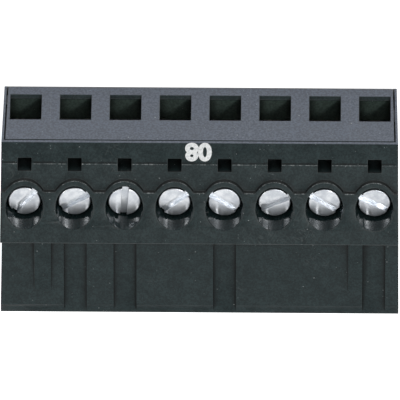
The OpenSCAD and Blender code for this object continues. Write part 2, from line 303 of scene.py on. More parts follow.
def build_bore_group() -> None:
    """Builds the mask of the polished screw recesses, from the distance to the pole axes."""
    group = ShaderGroup("recess_mask", {
        "Pitch": ROW.pitch, "Axis Y": ROW.axis_y, "Radius": ROW.recess_r, "Margin": 0.012 * MM,
    }, ("Mask",))
    g, enter = group.graph, group.enter
    place = g.split(enter["Vector"])
    turns = g.math("FRACT", g.math("DIVIDE", place[0], enter["Pitch"]))
    across = g.times(g.minus(turns, 0.5), enter["Pitch"])
    along = g.minus(place[1], enter["Axis Y"])
    radius = g.math("SQRT", g.plus(g.times(across, across), g.times(along, along)))
    group.out("Mask", g.math("LESS_THAN", radius, g.plus(enter["Radius"], enter["Margin"])))


def build_facing_group() -> None:
    """Builds the masks of the painted reflection on the wire face, of the painted light behind it,
    and of the painted shade on the upright risers.
    """
    at_face, past_face = (0.35 * MM, 0.6 * MM), (0.25 * MM, 0.5 * MM)
    past_apron = (1.5 * MM, 2.0 * MM)
    group = ShaderGroup("wire_side_mask", {"Face Y": ROW.wire_face_y, "Riser Foot": 11.8 * MM},
                        ("Mask", "Inside", "Riser"), vectors=("Normal", "Vector"))
    g, enter = group.graph, group.enter
    normal, place = g.split(enter["Normal"]), g.split(enter["Vector"])
    behind = g.minus(place[1], enter["Face Y"])
    facing = g.smooth(g.times(normal[1], -1.0), 0.78, 0.98)
    # first mask: where the painted reflection goes on the wire face
    group.out("Mask", g.times(facing, g.smooth(behind, *at_face, 1.0, 0.0)))
    # second mask: where painted light goes within the entries, behind the face
    group.out("Inside", g.smooth(behind, *past_face))
    # third mask: where painted shade goes on the upright risers and collar fronts
    raised = g.math("GREATER_THAN", place[2], enter["Riser Foot"])
    upright = g.times(g.smooth(g.math("ABSOLUTE", normal[2]), 0.5, 0.25),
                      g.smooth(normal[1], -0.15, -0.4))
    group.out("Riser", g.times(upright, raised, g.smooth(behind, *past_apron)))


def build_line_group() -> None:
    """Builds the mask of one fine, broken mark where a coordinate has a given value."""
    group = ShaderGroup("straight_line", {
        "Coordinate": 0.0, "Place": 0.0, "Half Width": 0.04 * MM, "Break Scale": 2500.0,
    }, ("Mask",))
    g, enter = group.graph, group.enter
    away = g.math("ABSOLUTE", g.minus(enter["Coordinate"], enter["Place"]))
    line = g.math("MULTIPLY", g.fade(away, enter["Half Width"]), 2.0, clamp=True)
    broken = g.smooth(g.noise(enter["Vector"], enter["Break Scale"]), 0.3, 0.6, 0.25, 1.0)
    group.out("Mask", g.times(line, broken))


def build_turning_group() -> None:
    """Builds the fine marks of a turned and plated screw: brush lines, clouding and pits."""
    line_share, cloud_share = 0.5, 0.7
    group = ShaderGroup("turning_marks", {
        "Line Scale": 26000.0, "Cloud Scale": 1400.0, "Pit Scale": 7000.0}, ("Height", "Tone"))
    g, here = group.graph, group.enter["Vector"]
    drawn_out = g.mapped(here, (0.0, 0.0, 0.55), (1.0, 0.06, 1.0))
    lines = g.noise(drawn_out, group.enter["Line Scale"])
    cloud = g.noise(here, group.enter["Cloud Scale"], detail=3.0, roughness=0.55)
    pits = g.noise(here, group.enter["Pit Scale"], roughness=0.7)
    group.out("Height", g.weigh(lines, pits, line_share))
    group.out("Tone", g.smooth(g.weigh(cloud, pits, cloud_share), 0.35, 0.65))


def build_groups() -> None:
    """Builds every shared shader group once."""
    for build in (build_grain_group, build_dust_group, build_scuff_group, build_bore_group,
                  build_facing_group, build_line_group, build_turning_group):
        build()


# ---- finishes


class Finish:
    """One material: a Principled BSDF and the graph that feeds it."""

    def __init__(self, name: str) -> None:
        """Makes an empty material with its shader.

        Args:
            name: The material's name.
        """
        self.material = bpy.data.materials.new(name)
        self.material.use_nodes = True
        tree = self.material.node_tree
        tree.nodes.clear()
        self.graph = Graph(tree)
        self.shader = self.graph.node("ShaderNodeBsdfPrincipled")
        out = self.graph.node("ShaderNodeOutputMaterial")
        tree.links.new(self.shader.outputs[0], out.inputs[0])
        place = self.graph.node("ShaderNodeTexCoord")
        self.here = place.outputs["Object"]
        self.normal = place.outputs["Normal"]

    def group(self, name: str, **inputs: object) -> Sockets:
        """Places a shared group on the object's own coordinates.

        Args:
            name: The group's name.
            inputs: Values or sockets, with spaces of their names written as underscores.

        Returns:
            The group's outputs.
        """
        made = self.graph.node("ShaderNodeGroup", node_tree=ShaderGroup.library[name])
        for key, value in {"Vector": self.here, **inputs}.items():
            self.graph.feed(made.inputs[key.replace("_", " ")], value)
        return made.outputs

    def edge(self) -> Socket:
        """Reads the attribute that is 1 on the rounded edges."""
        return self.graph.node("ShaderNodeAttribute", attribute_name="edge").outputs["Fac"]

    def set(self, **values: object) -> None:
        """Feeds the shader's inputs, with spaces of their names written as underscores."""
        for name, value in values.items():
            self.graph.feed(self.shader.inputs[name.replace("_", " ")], value)

    def bump(self, height: Socket, distance: float) -> Socket:
        """Turns a height from 0 to 1 into a normal, for a depth in metres."""
        inputs = {"Height": height, "Distance": distance, "Strength": 1.0}
        return self.graph.node("ShaderNodeBump", inputs).outputs[0]


@dataclass(frozen=True)
class PlasticFinish:
    """Black moulded plastic with grain, dust and rub marks, painted shade in its corners, on its
    risers and along its parting line, a painted reflection on its wire face, painted light within
    its wire entries, and paler edges that are partly rubbed and partly painted highlight.
    """

    name: str
    deep: Colour = (0.0075, 0.0165, 0.0178)
    pale: Colour = (0.0220, 0.0362, 0.0378)
    # painted reflection of the pale floor on the wire face
    painted_reflection: Colour = (0.119, 0.139, 0.178)
    painted_reflection_span: Span = (0.86, 1.0)
    # painted shade on the upright risers and collar fronts
    riser_painted_shade: Colour = (0.0025, 0.0035, 0.0035)
    riser_painted_shade_share: float = 0.85
    # painted light on the walls within the wire entries
    entry_painted_light: Colour = (0.052, 0.074, 0.064)
    # paler rounded edges: partly rubbed, partly painted highlight
    worn_edge_highlight: Colour = (0.070, 0.080, 0.080)
    worn_edge_highlight_span: Span = (0.2, 0.55)
    rubbed: Colour = (0.095, 0.108, 0.108)
    rubbed_share: float = 0.32
    dust: Colour = (0.42, 0.45, 0.45)
    dust_share: float = 0.84
    weld: Colour = (0.30, 0.32, 0.34)
    weld_share: float = 0.22
    weld_lines: tuple[float, ...] = ()
    # painted shadow line along the parting line, under the flash bead
    seam_shadow: Colour = (0.003, 0.004, 0.004)
    seam_shadow_share: float = 0.8
    seam_shadow_half_width: float = 0.09 * MM
    seam_shadow_y: float | None = None
    has_entries: bool = False
    # darkening in corners and creases by ambient occlusion: painted shade
    corner_reach: float = 1.1 * MM
    corner_samples: int = 6
    painted_shade_span: Span = (0.12, 1.0)
    grit_span: Span = (0.8, 1.22)
    roughness: float = 0.46
    roughness_span: float = 0.12
    rub_gloss: float = 0.08
    polish: float = 0.09
    polished_grain: float = 0.12
    grain_depth: float = 0.006 * MM

    def moulded(self, f: Finish, grain: Sockets, open_skin: Socket) -> Socket:
        """Builds the moulding's colour before it was handled, with a painted reflection on the wire
        face, painted light within the entries, and painted shade on the risers, in the corners and
        along the parting line.

        Args:
            f: The finish.
            grain: Outputs of the grain group.
            open_skin: Mask of all but the recesses.

        Returns:
            The colour's socket.
        """
        g = f.graph
        tone = grain["Tone"]
        facing = f.group("wire_side_mask", Normal=f.normal)
        base = g.blend(tone, self.deep, self.pale)
        # painted light within the wire entries
        if self.has_entries:
            base = g.blend(facing["Inside"], base, self.entry_painted_light)
        # painted reflection on the wire face
        painted_reflection = g.times(facing["Mask"], g.smooth(tone, 0.0, 1.0, *self.painted_reflection_span))
        base = g.blend(painted_reflection, base, self.painted_reflection)
        # painted shade on the upright risers and collar fronts
        if not self.has_entries:
            riser = g.times(facing["Riser"], open_skin, self.riser_painted_shade_share)
            base = g.blend(riser, base, self.riser_painted_shade)
        place = g.split(f.here)
        for x in self.weld_lines:
            line = f.group("straight_line", Coordinate=place[0], Place=x)["Mask"]
            base = g.blend(g.times(line, self.weld_share), base, self.weld)
        # painted shade in corners and creases by ambient occlusion, times the real grit
        corner = g.node("ShaderNodeAmbientOcclusion", {"Distance": self.corner_reach},
                        samples=self.corner_samples, only_local=True).outputs["AO"]
        shade = g.times(g.smooth(corner, 0.45, 1.0, *self.painted_shade_span),
                        g.smooth(grain["Grit"], 0.34, 0.66, *self.grit_span))
        grey = g.node("ShaderNodeCombineColor", {0: shade, 1: shade, 2: shade}).outputs[0]
        base = g.blend(1.0, base, grey, "MULTIPLY")
        # painted shadow line under the flash bead along the parting line
        if self.seam_shadow_y is not None:
            seam_shadow = f.group("straight_line", Coordinate=place[1], Place=self.seam_shadow_y,
                           Half_Width=self.seam_shadow_half_width)["Mask"]
            base = g.blend(g.times(seam_shadow, self.seam_shadow_share), base, self.seam_shadow)
        return base

    def build(self) -> bpy.types.Material:
        """Builds the material and returns it."""
        f = Finish(self.name)
        g = f.graph
        grain = f.group("moulded_grain")
        tone = grain["Tone"]
        specks = f.group("dust_specks", Share=self.dust_share)["Mask"]
        rubs = f.group("rub_marks")["Mask"]
        bore = f.group("recess_mask")["Mask"]
        open_skin = g.minus(1.0, bore)
        base = self.moulded(f, grain, open_skin)
        # paler rounded edges: partly rubbed, partly painted highlight
        wear_and_highlight = g.times(f.edge(), g.smooth(tone, 0.2, 0.9, *self.worn_edge_highlight_span))
        base = g.blend(wear_and_highlight, base, self.worn_edge_highlight)
        base = g.blend(g.times(rubs, open_skin, self.rubbed_share), base, self.rubbed)
        base = g.blend(g.times(specks, open_skin), base, self.dust)
        rough = g.plus(self.roughness, g.times(g.minus(tone, 0.5), self.roughness_span))
        rough = g.minus(rough, g.times(rubs, self.rub_gloss))
        rough = g.node("ShaderNodeMix", {"Factor": bore, 2: rough, 3: self.polish}).outputs[0]
        height = g.times(grain["Height"], g.smooth(bore, 0.0, 1.0, 1.0, self.polished_grain))
        f.set(Base_Color=base, Roughness=rough, Normal=f.bump(height, self.grain_depth), IOR=1.5,
              Specular_IOR_Level=0.3)
        return f.material


@dataclass(frozen=True)
class MetalFinish:
    """A plated or bare metal with marks, clouding and brighter edges."""

    name: str
    bright: Colour
    dull: Colour
    roughness: float
    roughness_span: float = 0.12
    mark_depth: float = 0.0012 * MM
    glint: Colour = (0.95, 0.96, 0.98)
    glint_share: float = 0.5

    def build(self) -> bpy.types.Material:
        """Builds the material and returns it."""
        f = Finish(self.name)
        g = f.graph
        marks = f.group("turning_marks")
        colour = g.blend(marks["Tone"], self.dull, self.bright)
        colour = g.blend(g.times(f.edge(), self.glint_share), colour, self.glint)
        rough = g.plus(self.roughness, g.times(g.minus(0.5, marks["Tone"]), self.roughness_span))
        f.set(Base_Color=colour, Metallic=1.0, Roughness=rough,
              Normal=f.bump(marks["Height"], self.mark_depth))
        return f.material


@dataclass(frozen=True)
class FilmFinish:
    """A thin uneven film of two tones, such as printed ink and torn flash; the flash's pale tone is
    partly painted highlight.
    """

    name: str
    low: Colour
    high: Colour
    scale: float
    layer_strength: float
    tone_span: Span
    gloss_span: Span
    roughness: Span
    depth: float = 0.0

    def build(self) -> bpy.types.Material:
        """Builds the material and returns it."""
        f = Finish(self.name)
        g = f.graph
        film = g.noise(f.here, self.scale, detail=3.0, roughness=self.layer_strength)
        f.set(Base_Color=g.blend(g.smooth(film, *self.tone_span), self.low, self.high),
              Roughness=g.smooth(film, *self.gloss_span, *self.roughness),
              Normal=f.bump(film, self.depth) if self.depth else None)
        return f.material


# ---- mesh helpers


def placed(name: str, data: bpy.types.ID) -> bpy.types.Object:
    """Puts a mesh, text, light or camera in the scene as one object.

    Args:
        name: The object's name.
        data: What it shows.

    Returns:
        The object.
    """
    made = bpy.data.objects.new(name, data)
    bpy.context.scene.collection.objects.link(made)
    return made


def baked(holder: bpy.types.Object) -> bpy.types.Mesh:
    """Turns an object with its modifiers into a plain mesh, and removes the object.

    Args:
        holder: The object.

    Returns:
        The plain mesh.
    """
    view = bpy.context.evaluated_depsgraph_get()
    mesh = bpy.data.meshes.new_from_object(holder.evaluated_get(view))
    holder.modifiers.clear()
    bpy.data.objects.remove(holder)
    return mesh


def as_mesh(bm: bmesh.types.BMesh, name: str) -> bpy.types.Mesh:
    """Writes a shape to a new mesh and frees the shape.

    Args:
        bm: The shape.
        name: The mesh's name.

    Returns:
        The mesh.
    """
    mesh = bpy.data.meshes.new(name)
    bm.to_mesh(mesh)
    bm.free()
    return mesh


def move(bm: bmesh.types.BMesh, matrix: Matrix) -> None:
    """Moves a whole shape by a matrix."""
    bmesh.ops.transform(bm, matrix=matrix, verts=bm.verts)


def folded_faces(bm: bmesh.types.BMesh, least_cross: float = 2e-10, area_slack: float = 2e-9,
                 area_share: float = 0.002) -> list[bmesh.types.BMFace]:
    """Lists the faces whose triangles turn over or do not cover exactly their own outline.

    Args:
        bm: The shape.
        least_cross: Twice the area of a triangle too small to matter.
        area_slack: Area that a face's triangles may be off.
        area_share: Share of its own area that they may be off besides.

    Returns:
        The folded faces.
    """
    bm.normal_update()
    covered: dict[bmesh.types.BMFace, float] = {}
    turned = set()
    for loops in bm.calc_loop_triangles():
        a, b, c = (loop.vert.co for loop in loops)
        cross = (b - a).cross(c - a)
        face = loops[0].face
        covered[face] = covered.get(face, 0.0) + cross.length / 2
        if cross.length > least_cross and cross.dot(face.normal) < 0:
            turned.add(face)
    return [f for f in bm.faces if f in turned or abs(covered.get(f, 0.0) - f.calc_area())
            > area_slack + area_share * f.calc_area()]


@dataclass(frozen=True)
class EdgeRounding:
    """How the edges of a CAD solid are rounded."""

    width: float
    segments: int = 3
    sharp_deg: float = 25.0
    flat_deg: float = 0.4
    weld: float = 0.002 * MM
    spare_reach: float = 0.15 * MM
    attempts: int = 8
    rim_width: float = 0.0
    rim_above: float = 12.5 * MM
    rim_slack: float = 0.01 * MM

    def is_rim(self, edge: bmesh.types.BMEdge) -> bool:
        """Tells whether an edge lies on the rim of a screw recess.

        Args:
            edge: The edge.

        Returns:
            True on a rim.
        """
        for vert in edge.verts:
            across = (vert.co.x / ROW.pitch) % 1.0 - 0.5
            radius = math.hypot(across * ROW.pitch, vert.co.y - ROW.axis_y)
            if vert.co.z < self.rim_above or abs(radius - ROW.recess_r) > self.rim_slack:
                return False
        return True

    def merged(self, source: bpy.types.Object) -> bmesh.types.BMesh:
        """Copies a CAD node's loose triangles into one merged shape with whole flat faces.

        Args:
            source: The CAD node.

        Returns:
            The merged shape.
        """
        bm = bmesh.new()
        bm.from_mesh(source.data)
        bmesh.ops.remove_doubles(bm, verts=bm.verts, dist=self.weld)
        bmesh.ops.dissolve_degenerate(bm, edges=bm.edges, dist=self.weld)
        bmesh.ops.dissolve_limit(bm, angle_limit=math.radians(self.flat_deg),
                                 verts=bm.verts, edges=bm.edges)
        bmesh.ops.connect_verts_concave(bm, faces=bm.faces)
        return bm

    def rounded(self, bm: bmesh.types.BMesh, spared: list[Vector]) -> set[bmesh.types.BMFace]:
        """Rounds the sharp edges of a shape, the recess rims first.

        Args:
            bm: The shape.
            spared: Places whose edges stay sharp.

        Returns:
            The faces of the roundings.
        """
        kept = {v for v in bm.verts
                if any((v.co - place).length < self.spare_reach for place in spared)}
        made: set[bmesh.types.BMFace] = set()
        least = math.radians(self.sharp_deg)
        for width, rim in ((self.rim_width, True), (self.width, False)):
            sharp = [e for e in bm.edges if width and e.is_manifold
                     and e.calc_face_angle(0.0) > least and self.is_rim(e) == rim
                     and not made.intersection(e.link_faces) and not kept.intersection(e.verts)]
            if sharp:
                new = bmesh.ops.bevel(bm, geom=sharp, offset=width, offset_type="OFFSET",
                                      affect="EDGES", segments=self.segments, profile=0.5,
                                      clamp_overlap=False, loop_slide=True)
                made = {f for f in made if f.is_valid}.union(new["faces"])
            kept = {v for v in kept if v.is_valid}
        return made

    def apply(self, source: bpy.types.Object, name: str) -> bpy.types.Mesh:
        """Rounds a copy of a CAD node, and tries again with the edges spared that folded a face.

        Args:
            source: The CAD node.
            name: Name of the new mesh.

        Returns:
            A closed mesh with an edge attribute that is 1 on the roundings.
        """
        spared: list[Vector] = []
        for _ in range(self.attempts):
            bm = self.merged(source)
            made = self.rounded(bm, spared)
            folds = folded_faces(bm)
            if not folds:
                break
            spared += [v.co.copy() for f in folds for v in f.verts]
        log.debug("%s: %d places left sharp, %d folds", name, len(spared), len(folds))
        return smoothed(bm, made, name)


def smoothed(bm: bmesh.types.BMesh, rounded: set, name: str,
             crease_deg: float = 42.0) -> bpy.types.Mesh:
    """Marks the roundings, and shades a mesh smooth with normals that keep the flat faces flat.

    Args:
        bm: The shape, which is freed.
        rounded: Faces of the roundings.
        name: Name of the new mesh.
        crease_deg: Angle from which an edge stays sharp.

    Returns:
        The shaded mesh, with an edge attribute that is 1 on the roundings.
    """
    layer = bm.loops.layers.float.new("edge")
    for face in bm.faces:
        face.smooth = True
        for loop in face.loops:
            loop[layer] = 1.0 if face in rounded else 0.0
    for edge in bm.edges:
        edge.smooth = edge.is_manifold and edge.calc_face_angle(0.0) < math.radians(crease_deg)
    mesh = as_mesh(bm, name)
    holder = placed(name, mesh)
    holder.modifiers.new("weighted", "WEIGHTED_NORMAL").keep_sharp = True
    made = baked(holder)
    bpy.data.meshes.remove(mesh)
    made.name = name
    return made


def settle(name: str, mesh: bpy.types.Mesh, material: bpy.types.Material, body: str, slot: Slot,
           *nodes: str) -> None:
    """Makes a finished piece, hangs it on the empty of its body, and hides the CAD nodes that it
    replaces.

    Args:
        name: The piece's name.
        mesh: Its mesh.
        material: Its finish.
        body: The CAD body that it moves with.
        slot: Not used.
        nodes: The CAD nodes that it replaces.
    """
    mesh.materials.clear()
    mesh.materials.append(material)
    piece = placed(name, mesh)
    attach(piece, body)
    if nodes:
        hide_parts(*nodes)
    log.info("%s: %d faces on %s", name, len(mesh.polygons), body)


@dataclass
class CadPiece:
    """A finished piece that keeps the shape of its CAD node, with rounded edges."""

    name: str
    node: str
    body: str
    slot: Slot
    rounding: EdgeRounding

    def build(self, material: bpy.types.Material) -> None:
        """Rounds the node and settles the piece in the material."""
        mesh = self.rounding.apply(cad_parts[self.node], self.name)
        settle(self.name, mesh, material, self.body, self.slot, self.node)


class ShapeTree:
    """A Geometry Nodes tree with named inputs, whose result is made real and dressed."""

    def __init__(self, name: str, material: bpy.types.Material, sizes: dict[str, float],
                 follows_lines: bool = False) -> None:
        """Starts the tree and its sockets.

        Args:
            name: The tree's name.
            material: The finish that the shape gets.
            sizes: Default value by input name.
            follows_lines: Whether the tree starts from a mesh of loose lines.
        """
        self.material = material
        self.tree = bpy.data.node_groups.new(name, "GeometryNodeTree")
        face = self.tree.interface
        if follows_lines:
            face.new_socket(name="Lines", in_out="INPUT", socket_type=GEOMETRY)
        for label, value in sizes.items():
            face.new_socket(name=label, in_out="INPUT", socket_type=FLOAT).default_value = value
        face.new_socket(name="Geometry", in_out="OUTPUT", socket_type=GEOMETRY)
        self.graph = Graph(self.tree)
        self.enter = self.tree.nodes.new("NodeGroupInput").outputs

    def close(self, shape: Socket) -> None:
        """Shades the shape smooth, makes it real, dresses it and puts it out.

        Args:
            shape: The shape's socket.
        """
        g = self.graph
        smooth = g.node("GeometryNodeSetShadeSmooth", {0: shape}).outputs[0]
        real = g.node("GeometryNodeRealizeInstances", {0: smooth}).outputs[0]
        dressed = g.node("GeometryNodeSetMaterial", {"Geometry": real, "Material": self.material})
        self.tree.links.new(dressed.outputs[0], self.tree.nodes.new("NodeGroupOutput").inputs[0])

    def bake(self, source: bpy.types.Mesh, **sizes: float) -> bpy.types.Mesh:
        """Runs the tree once.

        Args:
            source: The mesh that the tree starts from, empty where it needs none.
            sizes: Input values, with spaces of their names written as underscores.

        Returns:
            The shape as a plain mesh.
        """
        holder = placed(self.tree.name, source)
        modifier = holder.modifiers.new(self.tree.name, "NODES")
        modifier.node_group = self.tree
        names = {item.name: item.identifier for item in self.tree.interface.items_tree
                 if item.in_out == "INPUT"}
        for label, value in sizes.items():
            modifier[names[label.replace("_", " ")]] = value
        return baked(holder)


# ---- sub-assemblies


@dataclass
class PlugBody:
    """The moulded body with its wells, collars and mating nose, and the snapped-in plate."""

    body_rounding: EdgeRounding = EdgeRounding(0.045 * MM, rim_width=0.13 * MM)
    plate_rounding: EdgeRounding = EdgeRounding(0.04 * MM)

    def build(self, body: bpy.types.Material, plate: bpy.types.Material) -> None:
        """Builds the housing and the plate with the eight wire entries.

        Args:
            body: Finish of the housing.
            plate: Finish of the plate.
        """
        CadPiece("housing_shell", "housing", "plug_body", Slot.HOUSING,
                 self.body_rounding).build(body)
        CadPiece("entry_plate", "front_plate", "plug_body", Slot.PLATE,
                 self.plate_rounding).build(plate)


@dataclass
class StampedParts:
    """The clamp cages and the contacts, with the rolled edges of stamped strip."""

    cage_rounding: EdgeRounding = EdgeRounding(0.05 * MM, segments=2, sharp_deg=30.0)
    contact_rounding: EdgeRounding = EdgeRounding(0.04 * MM, segments=2)

    def build(self, cage: bpy.types.Material, contact: bpy.types.Material) -> None:
        """Builds one cage and one contact for each pole.

        Args:
            cage: Finish of the cages.
            contact: Finish of the contacts.
        """
        for i in ROW.numbers():
            CadPiece(f"wire_cage_{i}", f"clamp_cage_{i}", f"cage_{i}", Slot.CAGE,
                     self.cage_rounding).build(cage)
            CadPiece(f"pin_contact_{i}", f"contact_{i}", "plug_body", Slot.CONTACT,
                     self.contact_rounding).build(contact)


class ThreadTree(ShapeTree):
    """Geometry Nodes for a threaded shank: a tube whose wall rises and falls along a helix."""

    def __init__(self, material: bpy.types.Material) -> None:
        """Builds the tree.

        Args:
            material: The finish that the shank gets.
        """
        super().__init__("threaded_shank", material, {
            "Crest Radius": 1.25 * MM, "Root Radius": 1.0 * MM, "Thread Pitch": 0.45 * MM,
            "Tip Height": 0.3 * MM, "Length": 5.7 * MM, "Flank Slope": 2.6, "Crest Gain": 1.25})
        g, enter = self.graph, self.enter
        crest, root, length = enter["Crest Radius"], enter["Root Radius"], enter["Length"]
        around, along, neck = 32, 130, (0.25 * MM, 0.6 * MM)
        whole_turns = 8.0  # keeps the phase positive all along the shank
        tube = g.node("GeometryNodeMeshCylinder", {
            "Vertices": around, "Side Segments": along, "Radius": crest, "Depth": length},
            fill_type="NGON").outputs["Mesh"]
        place = g.split(g.node("GeometryNodeInputPosition").outputs[0])
        height = g.plus(place[2], g.times(length, 0.5))
        turn = g.math("DIVIDE", g.math("ARCTAN2", place[1], place[0]), math.tau)
        rise = g.minus(g.math("DIVIDE", height, enter["Thread Pitch"]), turn)
        phase = g.math("FRACT", g.plus(rise, whole_turns))
        from_crest = g.math("ABSOLUTE", g.minus(phase, 0.5))
        ridge = g.minus(1.0, g.times(from_crest, enter["Flank Slope"]), clamp=True)
        ridge = g.math("MINIMUM", g.times(ridge, enter["Crest Gain"]), 1.0)
        under_head = g.smooth(g.minus(length, height), *neck)
        ridge = g.times(ridge, under_head)
        radius = g.plus(root, g.times(ridge, g.minus(crest, root)))
        cone = g.plus(g.minus(crest, enter["Tip Height"]), height)
        scale = g.math("DIVIDE", g.math("MINIMUM", radius, cone), crest)
        moved = g.node("ShaderNodeCombineXYZ", {
            0: g.times(place[0], scale), 1: g.times(place[1], scale), 2: height}).outputs[0]
        self.close(g.node("GeometryNodeSetPosition", {
            "Geometry": tube, "Position": moved}).outputs[0])


@dataclass
class ClampScrew:
    """A slotted, zinc-plated cheese-head screw with a real thread."""

    head_r: float = 1.65 * MM
    head_z: float = 11.82 * MM
    foot_chamfer: float = 0.03 * MM
    bevel: float = 0.12 * MM
    bevel_steps: int = 4
    head_steps: int = 72
    slot_w: float = 0.66 * MM
    slot_depth: float = 0.5 * MM
    slot_lip: float = 0.035 * MM
    slot_lip_steps: int = 2
    cutter_h: float = 1.0 * MM
    cutter_reach: float = 2.4
    weld: float = 1e-6
    cut_weld: float = 1e-7
    flat_deg: float = 0.2
    tip_z: float = 6.10 * MM
    shank_overlap: float = 0.02 * MM
    slot_angles: tuple[float, ...] = (-26.0, -33.5, 25.0, -33.0, 38.5, 86.0, 31.0, 49.0)

    def head_blank(self) -> bpy.types.Mesh:
        """Makes the lathed head, still without its slot."""
        top = ROW.head_top
        profile = [(0.0, self.head_z), (self.head_r - self.foot_chamfer, self.head_z),
                   (self.head_r, self.head_z + self.foot_chamfer)]
        for k in range(self.bevel_steps + 1):
            a = math.radians(90.0 * k / self.bevel_steps)
            profile.append((self.head_r - self.bevel * (1 - math.cos(a)),
                            top - self.bevel * (1 - math.sin(a))))
        profile.append((0.0, top))
        bm = bmesh.new()
        chain = [bm.verts.new((r, 0.0, z)) for r, z in profile]
        edges = [bm.edges.new(pair) for pair in zip(chain, chain[1:])]
        bmesh.ops.spin(bm, geom=chain + edges, axis=(0, 0, 1), cent=(0, 0, 0), angle=math.tau,
                       steps=self.head_steps)
        bmesh.ops.remove_doubles(bm, verts=bm.verts, dist=self.weld)
        bmesh.ops.recalc_face_normals(bm, faces=bm.faces)
        return as_mesh(bm, "head_blank")

    def slot_cutter(self) -> bpy.types.Object:
        """Makes the box that cuts the driver slot and returns its object."""
        middle = Matrix.Translation((0, 0, ROW.head_top + self.cutter_h / 2 - self.slot_depth))
        size = Matrix.Diagonal((self.head_r * self.cutter_reach, self.slot_w, self.cutter_h, 1.0))
        bm = bmesh.new()
        bmesh.ops.create_cube(bm, size=1.0, matrix=middle @ size)
        return placed("slot_cutter", as_mesh(bm, "slot_cutter"))

    def slotted_head(self) -> bpy.types.Mesh:
        """Cuts the slot into the blank and returns the head's mesh."""
        cutter = self.slot_cutter()
        blank = placed("head_blank", self.head_blank())
        cut = blank.modifiers.new("slot", "BOOLEAN")
        cut.operation, cut.solver, cut.object = "DIFFERENCE", "EXACT", cutter
        head = baked(blank)
        bpy.data.objects.remove(cutter)
        return head

    def is_slot_lip(self, edge: bmesh.types.BMEdge, least_deg: float = 50.0,
                    slack: float = 1e-6) -> bool:
        """Tells whether an edge is one of the slot's upper edges.

        Args:
            edge: The edge.
            least_deg: Angle below which an edge doesn't count.
            slack: How far its ends may be off the slot's wall.

        Returns:
            True on a lip.
        """
        floor = ROW.head_top - self.slot_depth
        return (edge.is_manifold and edge.calc_face_angle(0.0) > math.radians(least_deg)
                and all(abs(abs(v.co.y) - self.slot_w / 2) < slack for v in edge.verts)
                and min(v.co.z for v in edge.verts) > floor + slack)

    def build(self, material: bpy.types.Material) -> None:
        """Builds the screw of every pole.

        Args:
            material: The zinc finish.
        """
        thread = ThreadTree(material).bake(
            bpy.data.meshes.new("shank_holder"),
            Length=self.head_z + self.shank_overlap - self.tip_z)
        thread.transform(Matrix.Translation((0, 0, self.tip_z)))
        head = self.slotted_head()
        for i, angle in zip(ROW.numbers(), self.slot_angles):
            bm = bmesh.new()
            bm.from_mesh(head)
            bmesh.ops.remove_doubles(bm, verts=bm.verts, dist=self.cut_weld)
            bmesh.ops.dissolve_limit(bm, angle_limit=math.radians(self.flat_deg),
                                     verts=bm.verts, edges=bm.edges)
            made = bmesh.ops.bevel(bm, geom=[e for e in bm.edges if self.is_slot_lip(e)],
                                   offset=self.slot_lip, offset_type="OFFSET", affect="EDGES",
                                   segments=self.slot_lip_steps, profile=0.5,
                                   clamp_overlap=True)
            rounded = set(made["faces"])
            move(bm, Matrix.Rotation(math.radians(angle), 4, "Z"))
            bm.from_mesh(thread)
            move(bm, Matrix.Translation((ROW.pole_x(i), ROW.axis_y, 0)))
            name = f"slotted_screw_{i}"
            mesh = smoothed(bm, rounded, name)
            settle(name, mesh, material, f"screw_{i}", Slot.SCREW, f"clamp_screw_{i}")


class FlashTree(ShapeTree):
    """Geometry Nodes for moulding flash: a ragged bead that follows every line it is given."""

    def __init__(self, material: bpy.types.Material) -> None:
        """Builds the tree.

        Args:
            material: The finish that the flash gets.
        """
        super().__init__("moulding_flash", material, {
            "Radius": 0.045 * MM, "Step": 0.07 * MM, "Wander": 0.03 * MM,
            "Ragged Scale": 5200.0}, follows_lines=True)
        g, enter = self.graph, self.enter
        clump_gain, drift_gain, sides = 0.16, 0.5, 6
        curve = g.node("GeometryNodeMeshToCurve", {"Mesh": enter["Lines"]}).outputs["Curve"]
        even = g.node("GeometryNodeResampleCurve", {"Curve": curve, "Length": enter["Step"]},
                      mode="LENGTH").outputs["Curve"]
        place = g.node("GeometryNodeInputPosition").outputs[0]
        scale = enter["Ragged Scale"]
        ragged = g.noise(place, scale, roughness=0.6)
        clump = g.noise(place, g.times(scale, clump_gain), detail=1.0)
        swell = g.times(g.smooth(ragged, 0.42, 0.66, 0.35, 1.5),
                        g.smooth(clump, 0.4, 0.6, 0.7, 1.25))
        drift = g.node("ShaderNodeTexNoise", {
            "Vector": place, "Scale": g.times(scale, drift_gain)}).outputs["Color"]
        centred = g.node("ShaderNodeVectorMath", {0: drift, 1: (0.5, 0.5, 0.5)},
                         operation="SUBTRACT").outputs[0]
        offset = g.node("ShaderNodeVectorMath", {0: centred, "Scale": enter["Wander"]},
                        operation="SCALE").outputs[0]
        moved = g.node("GeometryNodeSetPosition", {
            "Geometry": even, "Offset": offset}).outputs[0]
        ring = g.node("GeometryNodeCurvePrimitiveCircle", {
            "Resolution": sides, "Radius": 1.0}).outputs["Curve"]
        self.close(g.node("GeometryNodeCurveToMesh", {
            "Curve": moved, "Profile Curve": ring, "Fill Caps": True,
            "Scale": g.times(swell, enter["Radius"])}).outputs["Mesh"])


